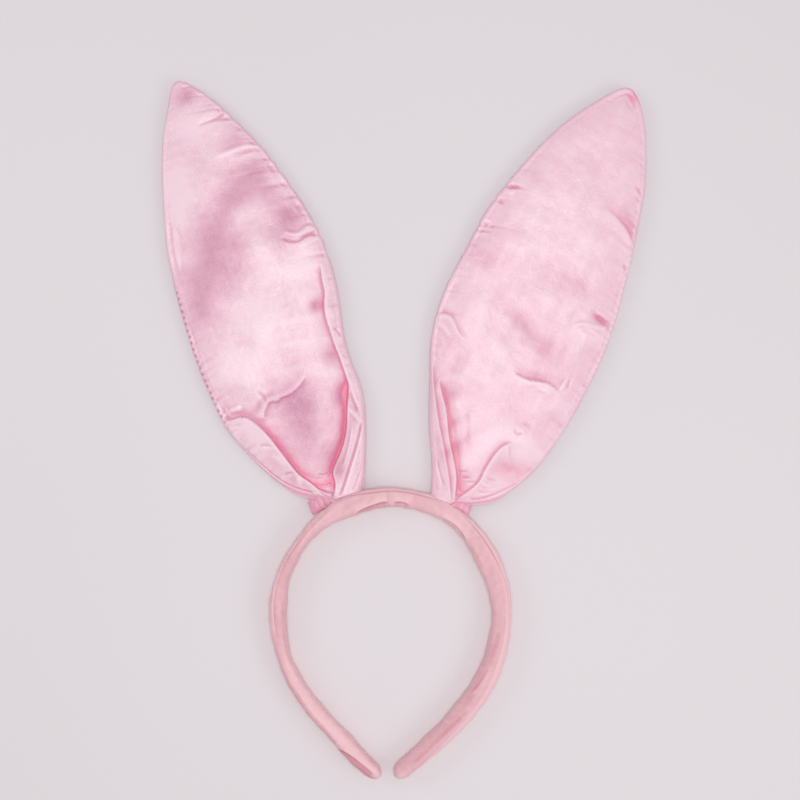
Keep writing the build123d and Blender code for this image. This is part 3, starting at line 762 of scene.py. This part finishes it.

    # The front panel's tone: painted shade and painted sheen patches, painted shade along the edge and in
    # hollows and creases, painted highlight on ridges, the painted glow under folds, and the stitch dots.
    def tone(self, x, v, distance, z):
        p = np.stack([x.ravel(), v.ravel()], 1)
        tone = np.full(len(p), 0.20)
        # Painted shade and painted sheen patches.
        for cx, cv, amount, across, along, turn in PAINTED_SHADE_AND_SHEEN[self.side]:
            tone += mound(p, cx, cv, 0.62 * amount, across, along, turn)
        # Painted shade along the very edge, where the rolled seam turns away from the light.
        tone = tone.reshape(x.shape) + 0.18 * bell(distance / 0.8)
        # Painted shade in hollows and creases, and painted highlight on ridges, from how far the cloth lies
        # below or stands above its neighbours.
        inside = smooth((distance - 0.6) / 2.0)
        hollow = (blurred(z, 5.0) - z) * inside
        sharp = (blurred(z, 1.6) - z) * inside
        tone += 0.22 * np.clip(hollow / 0.5, -0.6, 1.0) + 0.22 * np.clip(sharp / 0.12, -0.8, 0.9)
        # Painted glow of reflected light in the deeper hollows, under the fold edges and in patches.
        painted_glow = 0.22 * np.clip((hollow - 0.10) / 0.5, 0, 1)
        for line, amount, reach, side, start, end in GLOWS[self.side]:
            painted_glow += glow(p, line, amount, reach, side, start, end).reshape(x.shape)
        for cx, cv, amount, across, along, turn in PAINTED_GLOW_PATCHES[self.side]:
            painted_glow += mound(p, cx, cv, amount, across, along, turn).reshape(x.shape)
        for side, start, end, amount in DOTS[self.side]:
            stretch = smooth((v - start) / 8) * smooth((end - v) / 8) * (np.sign(x) == side)
            tone += amount * stretch * bell((distance - 0.9) / 0.6) * smooth(1.5 * np.sin(2 * pi * v / DOT))
        return tone, np.clip(painted_glow, 0, 0.9)

    def panel(self, front):
        columns = self.COLUMNS if front else self.BACK_COLUMNS
        x, v, distance = self.sheet(columns)
        z = self.heights(x, v, distance, front)
        # The scalloped edge: the seam draws the outline in a little at each pucker.
        for s in (-1, 1):
            near = np.exp(-distance / 2.5) * (np.sign(x - (self.low + self.high)[:, None] / 2) == s)
            x = x - s * 0.55 * self.pull(s, v) * near * smooth(v / 20)
        tone, painted_glow = self.tone(x, v, distance, z) if front else (np.full(x.shape, 0.25), None)
        points = self.world(x, v, z if front else -z)
        if not front:
            points = points[:, ::-1]
            x, v = x[:, ::-1], v[:, ::-1]
        face = "front" if front else "back"
        piece = grid_mesh(f"{self.side}_ear_{face}_satin", points, (x, v), SATIN[self.side], tone, painted_glow)
        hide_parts(*self.halves(face + "_panel"))
        self.across_fold(piece)

    def halves(self, part):
        """The two nodes that a piece across the fold stands for."""
        return [f"{self.side}_ear_{part}_{half}" for half in ("lower", "upper")]

    def across_fold(self, piece):
        start, end = (self.world(np.array(0.0), np.array(FOLD + d), np.array(0.0)) * MM
                      for d in (-FOLD_REACH, FOLD_REACH))
        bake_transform(piece)

    def strand(self, name, inset, radius, material, part, weave=0.0):
        """A wire or thread that follows the outline, from one side of the gathers round to the other."""
        line = self.outline(inset, 460)
        line = line[line[:, 1] > STRAND_START]
        z = np.zeros(len(line))
        if weave:
            z = z + weave * np.sin(2 * pi * lengths(line) / STITCH)
        rings = rope(self.world(line[:, 0], line[:, 1], z), radius, 8)
        piece = grid_mesh(f"{self.side}_ear_{name}", rings, (np.linspace(0, 1, 8), lengths(line)[:, None]),
                          material, wrap=True, caps=True)
        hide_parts(*self.halves(part))
        self.across_fold(piece)

    def wadding(self):
        """The thin batting: a soft closed pad inside the two panels."""
        rows = np.linspace(self.BATTING_LOW, self.v[-1] - self.BATTING_STOP, 150)
        low = np.interp(rows, self.v, self.low) + self.BATTING_INSET
        high = np.interp(rows, self.v, self.high) - self.BATTING_INSET
        turn = np.linspace(0, 2 * pi, 56, endpoint=False)
        middle, half = (low + high) / 2, (high - low) / 2
        end = np.sqrt(np.clip(1 - ((rows - rows.mean()) / (rows[-1] - rows.mean())) ** 12, 0.02, 1))
        x = middle[:, None] + (half * end)[:, None] * np.cos(turn)
        z = (self.BATTING_HALF * end)[:, None] * np.sign(np.sin(turn)) * np.abs(np.sin(turn)) ** 0.6
        v = np.broadcast_to(rows[:, None], x.shape)
        z = z * (1 + ripple(np.stack([x.ravel(), v.ravel()], 1), 5, 9, 0.08).reshape(x.shape))
        piece = grid_mesh(self.side + "_ear_batting", self.world(x, v, z), (x, v), BATTING, wrap=True,
                          caps=True)
        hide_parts(*self.halves("wadding"))
        self.across_fold(piece)

    def neck(self):
        """The pleated end that the binding thread draws together, inside the two panels."""
        v = np.linspace(self.NECK_LOW, self.NECK_HIGH, 40)
        low, high = np.interp(v, self.v, self.low) + 2.2, np.interp(v, self.v, self.high) - 2.2
        turn = np.linspace(0, 2 * pi, 90, endpoint=False)
        pinch = bell((v - BINDING_WAIST) / 1.6)
        middle = (low + high) / 2
        half = np.minimum((high - low) / 2, 8.5 + 3.5 * smooth((v - BINDING_WAIST) / 4)) * (1 - 0.12 * pinch)
        thick = (1.65 - 0.25 * pinch) * (1 - 0.3 * smooth((v - 10) / 3))
        pleats = 1 + 0.10 * np.cos(13 * turn)[None] * (0.6 + 0.4 * np.sin(v))[:, None]
        x = middle[:, None] + half[:, None] * np.cos(turn) * (1 + 0.2 * (pleats - 1))
        z = self.NECK_LEVEL + thick[:, None] * np.sin(turn) * pleats
        vv = np.broadcast_to(v[:, None], x.shape)
        piece = grid_mesh(self.side + "_ear_gathers", self.world(x, vv, z), (turn[None] * 6, v[:, None]),
                          SATIN[self.side], np.full(x.shape, 0.5), wrap=True, caps=True)
        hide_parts(self.side + "_ear_gathered_neck")
        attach(piece, self.side + "_ear")
        wind = np.linspace(0, BINDING_TURNS * 2 * pi, 260)
        half, thick = np.interp(BINDING_WAIST, v, half) + 0.1, 1.62
        path = self.world(np.interp(BINDING_WAIST, v, middle) + half * np.cos(wind),
                          BINDING_LOW + BINDING_PITCH * wind / (2 * pi),
                          self.NECK_LEVEL + thick * np.sin(wind))
        piece = grid_mesh(self.side + "_ear_binding", rope(path, THREAD_RADIUS, 8),
                          (np.arange(8.0)[None], lengths(path)[:, None]), THREAD, wrap=True, caps=True)
        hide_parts(self.side + "_ear_binding_thread")
        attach(piece, self.side + "_ear")

    def tail(self):
        """The ear's raw end, folded against the band's outer face, with the stitches that hold it."""
        sign = -1 if self.side == "left" else 1
        reach = 16.0 if sign < 0 else 12.0
        a = np.linspace(-10.5, reach, 90)
        x = sign * a
        turn = np.linspace(0, 2 * pi, 40, endpoint=False)
        c, q = np.cos(turn), np.sin(turn)
        flare = smooth((a - 0.5) / (reach - 7))
        depth = 1.0 + (2.9 if sign < 0 else 1.9) * flare
        tall = (2.9 - 1.7 * flare) * np.sqrt(1 - np.clip((a - reach + 2.5) / 2.5, 0, 1) ** 2 * 0.9) \
            * np.sqrt(1 - np.clip((-8.0 - a) / 2.5, 0, 1) ** 2 * 0.9)
        pleat = 1 + 0.10 * np.sin(a * 1.9 + 0.8)[:, None] + 0.05 * np.sin(a * 4.3)[:, None] * q[None]
        hem = -x ** 2 / (2 * BAND_FACE) + (0.045 if sign < 0 else 0.11) * np.abs(x) * (a > 0)
        v = hem[:, None] - 1.5 + (depth[:, None] * (1 + np.sign(c) * np.abs(c) ** 0.8)[None]) * pleat
        z = 0.1 + tall[:, None] * np.sign(q) * np.abs(q) ** 0.75 * pleat
        xx = np.broadcast_to(x[:, None], v.shape)
        points = self.world(xx, v, z)
        if sign > 0:
            points = points[:, ::-1]
        # The folded end is drawn deeper and pinker towards its flare: painted shade and painted glow.
        piece = grid_mesh(self.side + "_ear_folded_end", points, (turn[None] * 2, a[:, None]),
                          SATIN[self.side], np.broadcast_to(0.45 + 0.2 * flare[:, None], v.shape),
                          0.25 * flare[:, None], wrap=True, caps=True)
        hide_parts(self.side + "_ear_tail")
        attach(piece, "headband_crown")
        for k, at in enumerate(TACK_PLACES):
            t = np.linspace(0, pi, 26)
            path = self.world(sign * at + 0.5 * np.cos(t), -at ** 2 / 123 - 0.4 + 1.4 * np.sin(t),
                              1.2 + 2.4 * np.cos(t + 0.3))
            name = f"{self.side}_ear_tack_{k - 1}" if k else self.side + "_ear_tacks"
            piece = grid_mesh(name, rope(path, THREAD_RADIUS, 8),
                              (np.arange(8.0)[None], np.arange(26.0)[:, None]), THREAD, wrap=True, caps=True)
            if k == 0:
                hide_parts(self.side + "_ear_tacking_stitches")
            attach(piece, "headband_crown")

    def build(self):
        self.panel(True)
        self.panel(False)
        self.wadding()
        self.neck()
        self.tail()
        self.strand("wire", 2.0, 0.6, WIRE, "edge_wire")
        self.strand("seam_stitching", 0.9, 0.28, THREAD, "seam_thread", 0.25)


def nearest(points, line):
    """Distance from each point to a fine line, worked out in blocks."""
    best = np.full(len(points), 1e9)
    a, step = line[:-1], np.diff(line, axis=0)
    square = np.maximum((step ** 2).sum(1), 1e-12)
    for first in range(0, len(points), 4000):
        block = points[first:first + 4000]
        gap = block[:, None] - a[None]
        t = np.clip((gap * step[None]).sum(2) / square[None], 0, 1)
        gap = gap - t[..., None] * step[None]
        best[first:first + 4000] = np.sqrt((gap ** 2).sum(2)).min(1)
    return best


# ---------------------------------------------------------------- the headband

# The band's centre line on one side: radius, first and last polar angle of each arc, from the crown down.
ARCS = [(57.3, 90.0, -2.0), (86.0, -2.0, -42.0), (290.0, -42.0, -50.3)]
BAND_LENGTH = sum(r * radians(a - b) for r, a, b in ARCS)
TIP_LENGTH = 4.2               # the sleeve's tip is rounded over this length
SLEEVE_TOP = 5.5               # the most that the sleeve stands from the band's middle
SLEEVE_ROUND = 34              # the distance round the sleeve
CORE_SHORT = 6.0               # the core stops this far before the band's end
GLUE_PLACE = 190.2             # arc at the middle of the dab


def band_line(s):
    """The centre line's point at arc s from the crown, from the hoop's centre, and its outward direction."""
    s = np.asarray(s, float)
    centre, done = np.zeros(2), 0.0
    point, outward = np.zeros(s.shape + (2,)), np.zeros(s.shape + (2,))
    for k, (radius, start, end) in enumerate(ARCS):
        if k:
            turn = radians(start)
            centre = centre - (radius - ARCS[k - 1][0]) * np.array([cos(turn), sin(turn)])
        angle = radians(start) - (s - done) / radius
        inside = (s >= done) if k else np.ones(s.shape, bool)
        n = np.stack([np.cos(angle), np.sin(angle)], -1)
        point[inside] = (centre + radius * n)[inside]
        outward[inside] = n[inside]
        done += radius * radians(start - end)
    return point, outward


def on_band(sign, s, r, z):
    """Points at arcs s, offsets r and heights z above the band's middle, on the left or the right."""
    point, outward = band_line(s)
    x = hoop[0] + sign * (point[:, None, 0] + outward[:, None, 0] * r)
    y = hoop[1] + point[:, None, 1] + outward[:, None, 1] * r
    return np.stack([x, y, BAND_MIDDLE + z], -1)


# How far the sleeve's outer and inner edges are from the centre line, at each arc s.
SLEEVE_EDGES = {
    "left": [(0, 5.1, 4.8), (10, 4.9, 6.0), (18, 4.6, 6.4), (26, 4.4, 5.9), (34, 3.7, 5.2), (42, 2.6, 4.4),
             (50, 1.9, 4.2), (58, 1.8, 4.4), (66, 2.2, 4.5), (74, 2.7, 4.2), (82, 3.4, 4.6), (90, 4.0, 4.9),
             (98, 4.2, 4.6), (106, 4.0, 3.6), (114, 3.8, 3.0), (123, 3.9, 3.3), (132, 3.7, 4.0),
             (141, 3.5, 4.6), (152, 3.4, 4.8), (163, 3.4, 4.9), (172, 4.3, 4.7), (180, 5.0, 4.2),
             (187, 5.0, 3.4), (191, 4.2, 2.8), (195.2, 3.4, 2.4)],
    "right": [(0, 5.1, 4.8), (10, 4.9, 4.7), (20, 5.2, 4.4), (28, 5.3, 4.1), (36, 5.3, 3.9), (44, 5.5, 4.2),
              (52, 5.8, 5.4), (60, 5.9, 6.2), (68, 6.0, 6.0), (76, 6.1, 5.4), (84, 6.1, 4.4), (92, 6.2, 3.6),
              (100, 6.5, 3.4), (108, 6.7, 3.4), (116, 7.1, 3.5), (124, 7.2, 3.6), (132, 7.0, 4.0),
              (140, 6.6, 4.6), (150, 6.3, 4.6), (160, 6.0, 4.3), (170, 5.3, 4.4), (178, 4.7, 4.6),
              (186, 4.4, 4.6), (192, 3.8, 4.0), (195.6, 3.2, 3.4)],
}


def crown_creases(p):
    """The seam and the two lens-shaped folds over the crown, where s runs on from one half to the other."""
    z = groove(p, [(-30, 5.0), (-18, 4.0), (-9.7, 3.0), (0, 3.4), (6, 3.5), (15.3, 3.6), (23.5, 4.2),
                   (30, 5.0)], 0.4, 0.4, 8, 4)
    z += tuck(p, [(-20, -5.6), (-14, -4.1), (-8, -3.2), (-2, -1.9), (1.5, -2.2)], 0.45, 0.7, 4.0, 2.2, side=1,
              sharp=0.8, start=5, end=4)
    z += tuck(p, [(2, -2.6), (5, -1.7), (9, -1.7), (12.5, -3.2)], 0.35, 0.6, 4.0, 1.8, side=1, sharp=0.8,
              start=3, end=3)
    return z


def left_creases(p):
    z = groove(p, [(26, 2.6), (38, 1.0), (50, 0.0), (60, -0.4)], 0.3, 0.9, 8, 8)
    z += tuck(p, [(46, 1.0), (56, 0.6), (66, 0.9), (80, 1.4), (94, 1.6), (108, 1.2)], 0.3, 0.3, 3.0, 1.8,
              side=1, sharp=0.9, start=12, end=12)
    z += groove(p, [(98, -2.6), (108, -2.4), (114, -1.9), (124, -2.6)], 0.28, 0.7, 9, 9)
    z += groove(p, [(82, -3.6), (92, -3.2), (100, -3.0)], 0.25, 0.8, 7, 7)
    z += tuck(p, [(166, 4.4), (170, 3.2), (173, 1.9), (179, 0.9), (186, 0.6), (193, 0.6)], 0.35, 0.5,
              3.0, 2.0, side=-1, sharp=0.6, start=2, end=3)
    z += groove(p, [(128, 1.6), (142, 1.2), (156, 1.2), (166, 1.8)], 0.25, 0.9, 8, 8)
    return z


def right_creases(p):
    z = groove(p, [(34, 5.0), (38.5, 4.6), (46, 3.9), (54, 3.6), (60, 3.6), (67, 3.9), (75, 4.4), (84, 4.8),
                   (96, 5.2), (108, 5.6)], 0.5, 0.4, 5, 12)
    z += tuck(p, [(29, -2.8), (37, -1.9), (44, -2.4), (50, -4.2)], 0.3, 0.42, 4.0, 2.0, side=1, sharp=0.9,
              start=4, end=3)
    z += groove(p, [(50, -3.6), (58, -4.6), (68, -4.6)], 0.25, 1.1, 5, 5)
    z += groove(p, [(98, 0.6), (110, 0.2), (122, -0.6)], 0.25, 1.4, 8, 8)
    z += tuck(p, [(118, 0.8), (127, -0.2), (133, -1.2), (139, -2.8)], 0.25, 0.22, 3.5, 2.4, side=1, sharp=1.2,
              start=9, end=5)
    z += groove(p, [(140, 1.6), (156, 0.6), (172, 0.0), (188, 0.4)], 0.25, 1.2, 10, 8)
    return z


CREASES = {"left": left_creases, "right": right_creases}


def sleeve(side):
    """Half of the loose fabric tube, from the middle of the crown to a rounded tip."""
    sign = -1 if side == "left" else 1
    table = np.array(SLEEVE_EDGES[side])
    last = table[-1, 0]
    t = np.linspace(0, 1, 330)
    s = last * (t + 0.03 * np.sin(2 * pi * t) * t)
    s = np.concatenate([s[:-14], last - (last - s[-14]) * (1 - np.linspace(0, 1, 14)) ** 1.7])
    outer, inner = np.interp(s, table[:, 0], table[:, 1]), np.interp(s, table[:, 0], table[:, 2])
    outer, inner = (smoothed(edge, 12, 5.0, "reflect") for edge in (outer, inner))
    turn = np.linspace(0, 2 * pi, 96, endpoint=False)
    c, q = np.cos(turn), np.sin(turn)
    # A rounded, slack oblong, flatter where it lies on the table.
    reach = np.sign(c) * np.abs(c) ** 0.72
    r = np.where(c[None] > 0, outer[:, None], inner[:, None]) * reach[None]
    cap = np.sqrt(np.clip(1 - ((s - (last - TIP_LENGTH)) / TIP_LENGTH).clip(0, 1) ** 2, 0, 1))[:, None]
    low, high = 5.2, 5.35
    z = np.where(q[None] > 0, high, low) * np.abs(q[None]) ** 0.62 * np.sign(q[None])
    flat = np.stack([np.broadcast_to(s[:, None], r.shape).ravel(), r.ravel()], 1)
    creases = (CREASES[side](flat) + crown_creases(flat * (sign, 1))).reshape(r.shape)
    slack = ripple(flat * (0.35, 1.0), 31 + (sign > 0), 9, 0.12).reshape(r.shape) \
        + ripple(flat * (1.0, 1.0), 41, 4.5, 0.03).reshape(r.shape)
    begin = smooth(s / 6)[:, None]
    top = smooth(q / 0.5)[None]
    z = z + (creases - 0.35) * top + slack * top * begin
    z = np.minimum(z, SLEEVE_TOP)
    # Long hanging folds down the tube's two walls, which the table never sees.
    walls = 0.28 * np.sin(2 * pi * s / 21 + 1.1)[:, None] * bell((z + 1.0) / 2.2) \
        + 0.18 * np.sin(2 * pi * s / 8.5)[:, None] * bell((z - 1.5) / 1.6)
    r = r + walls * np.sign(c)[None] * smooth(np.abs(c) / 0.6)[None] * begin
    r, z = r * (0.12 + 0.88 * cap), z * (0.35 + 0.65 * cap)
    points = on_band(sign, s, r, z)
    # Painted shade in the creases and dips, and painted highlight where the cloth stands above its
    # neighbours.
    dip = blurred(z, 2.5) - z
    along = s[:, None]
    strip = smooth((r - 3.6) / 0.6) * top
    # Besides that, the outer strip is drawn lighter, most on the right arm, and the crown's middle darker.
    tone = 0.18 + 0.5 * np.clip(-creases, -0.3, 1.0) * top + 0.35 * np.clip(dip / 0.3, -0.6, 0.8) * top \
        - (0.10 if sign < 0 else 0.10 + 0.30 * smooth(along / 20)) * strip \
        + 0.12 * (1 - smooth((along - 12) / 30)) * (1 - strip)
    # Painted shade and painted highlight along the arms: the left leg darker on its outer side with a lighter
    # stripe down its middle, the right leg darker along its inner side; long stretches of both arms and the
    # left tip are drawn darker.
    if sign < 0:
        tone = tone + 0.14 * smooth((along - 30) / 30) * smooth((124 - along) / 20) \
            + 0.42 * smooth((along - 104) / 24) * smooth((r - 0.4) / 2.6) \
            - 0.16 * smooth((along - 104) / 24) * bell((r + 1.2) / 2.0) + 0.16 * smooth((along - 168) / 14)
    else:
        tone = tone + 0.14 * smooth((along - 34) / 20) * smooth((3.6 - r) / 0.6) \
            + 0.22 * smooth((along - 96) / 20) * bell((r + 1.6) / 2.0)
    around = SLEEVE_ROUND * turn / (2 * pi)
    if sign > 0:
        points, tone, around = points[:, ::-1], tone[:, ::-1], around[::-1]
    piece = grid_mesh(f"{side}_sleeve", points, (around[None], sign * s[:, None]), SLEEVE, tone, wrap=True,
                      caps=True)
    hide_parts(f"{side}_arm_sleeve", *(["headband_sleeve_crown"] if side == "left" else []))
    across_flex(piece)


def across_flex(piece):
    """Bakes the piece's placement into its mesh."""
    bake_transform(piece)


def core(side):
    """Half of the springy plastic strip inside the sleeve."""
    sign = -1 if side == "left" else 1
    s = np.linspace(0, BAND_LENGTH - CORE_SHORT, 200)
    corner = [(-0.8, -3.6), (-0.8, 3.6), (-0.5, 4.0), (0.5, 4.0), (0.8, 3.6), (0.8, -3.6), (0.5, -4.0),
              (-0.5, -4.0)]
    r, z = np.array(corner).T
    ease = (1 - 0.5 * smooth((s - s[-1] + 3) / 3))[:, None]
    points = on_band(sign, s, r, z * ease)
    if sign < 0:
        points = points[:, ::-1]
    piece = grid_mesh(f"{side}_core_strip", points, (np.arange(8.0)[None], s[:, None]), PLASTIC, wrap=True,
                      caps=True)
    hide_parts(f"{side}_arm_core", *(["headband_core_crown"] if side == "left" else []))
    across_flex(piece)


def glue(side):
    """The dab of glue that closes the sleeve over the strip's end."""
    sign = -1 if side == "left" else 1
    a = np.linspace(0, pi, 24)
    s = GLUE_PLACE - 2.6 * np.cos(a)
    turn = np.linspace(0, 2 * pi, 20, endpoint=False)
    lump = 1 + 0.06 * np.sin(3 * turn + 1)[None] * np.sin(a)[:, None]
    r = 1.25 * np.sin(a)[:, None] * np.cos(turn)[None] * lump
    z = 3.6 * np.sin(a)[:, None] ** 0.7 * np.sin(turn)[None] * lump
    points = on_band(sign, s, r, z - 0.2)[1:-1]
    if sign > 0:
        points = points[:, ::-1]
    piece = grid_mesh(side + "_glue_dab", points, (turn[None], s[1:-1, None]), GLUE, wrap=True, caps=True)
    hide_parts(side + "_tip_glue")
    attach(piece, side + "_arm")


for side in ("left", "right"):
    Ear(side).build()
    sleeve(side)
    core(side)
    glue(side)


# ---------------------------------------------------------------- floor, light and camera

def floor():
    """A wide sheet of pale paper under the headband."""
    m = Nodes("paper_floor")
    place = m.add("ShaderNodeTexCoord").outputs["Object"]
    cloud = m.noise(place, 2.2, 2.0, 0.5)
    tooth = m.noise(place, 700.0, 3.0, 0.6)
    color = m.mix(cloud, srgb(226, 221, 224), srgb(232, 226, 229))
    material = m.finish(Base_Color=color, Roughness=0.85, Normal=m.bump(tooth, 0.00005, 0.3),
                        Specular_IOR_Level=0.2)
    mesh = bpy.data.meshes.new("floor")
    n, half = 12, 8
    grid = np.linspace(-half, half, n)
    vertices = [(x, y, 0.0) for y in grid for x in grid]
    faces = [(i + j * n, i + 1 + j * n, i + 1 + (j + 1) * n, i + (j + 1) * n)
             for j in range(n - 1) for i in range(n - 1)]
    mesh.from_pydata(vertices, [], faces)
    mesh.materials.append(material)
    piece = bpy.data.objects.new("floor", mesh)
    bpy.context.scene.collection.objects.link(piece)


def area_light(name, place, target, size, power, color=(1, 1, 1)):
    data = bpy.data.lights.new(name, "AREA")
    data.shape = "RECTANGLE"
    data.size, data.size_y = size
    data.energy = power
    data.color = color
    lamp = bpy.data.objects.new(name, data)
    lamp.location = place
    lamp.rotation_euler = (Vector(target) - Vector(place)).to_track_quat("-Z", "Y").to_euler()
    bpy.context.scene.collection.objects.link(lamp)


floor()
area_light("softbox", (0.02, 0.02, 1.25), (0.01, 0.0, 0), (0.40, 0.40), 6.4, (1.0, 0.99, 0.985))
area_light("side_fill", (-0.95, 0.35, 0.62), (0, 0, 0), (0.5, 0.4), 1.3, (1.0, 0.99, 1.0))
area_light("low_fill", (0.85, -0.45, 0.7), (0, 0, 0), (0.7, 0.5), 1.9)

world = bpy.data.worlds.new("studio")
world.use_nodes = True
background = world.node_tree.nodes["Background"]
background.inputs[0].default_value = (0.97, 0.955, 0.975, 1)
background.inputs[1].default_value = 0.46
bpy.context.scene.world = world
bpy.context.scene.view_settings.view_transform = "Standard"

# The camera looks straight down. Its middle is beside and above the hoop's centre.
LENS, SENSOR = 65.0, 36.0
VIEW_WIDTH = 0.416             # metres of floor from one side of the picture to the other
VIEW_ASIDE, VIEW_ABOVE = 6.11, 107.432

camera = bpy.data.cameras.new("camera")
camera.lens = LENS
camera.sensor_width = SENSOR
camera.clip_start = 0.01
view = bpy.data.objects.new("camera", camera)
view.location = ((hoop[0] + VIEW_ASIDE) * MM, (hoop[1] + VIEW_ABOVE) * MM, VIEW_WIDTH * LENS / SENSOR)
bpy.context.scene.collection.objects.link(view)
bpy.context.scene.camera = view
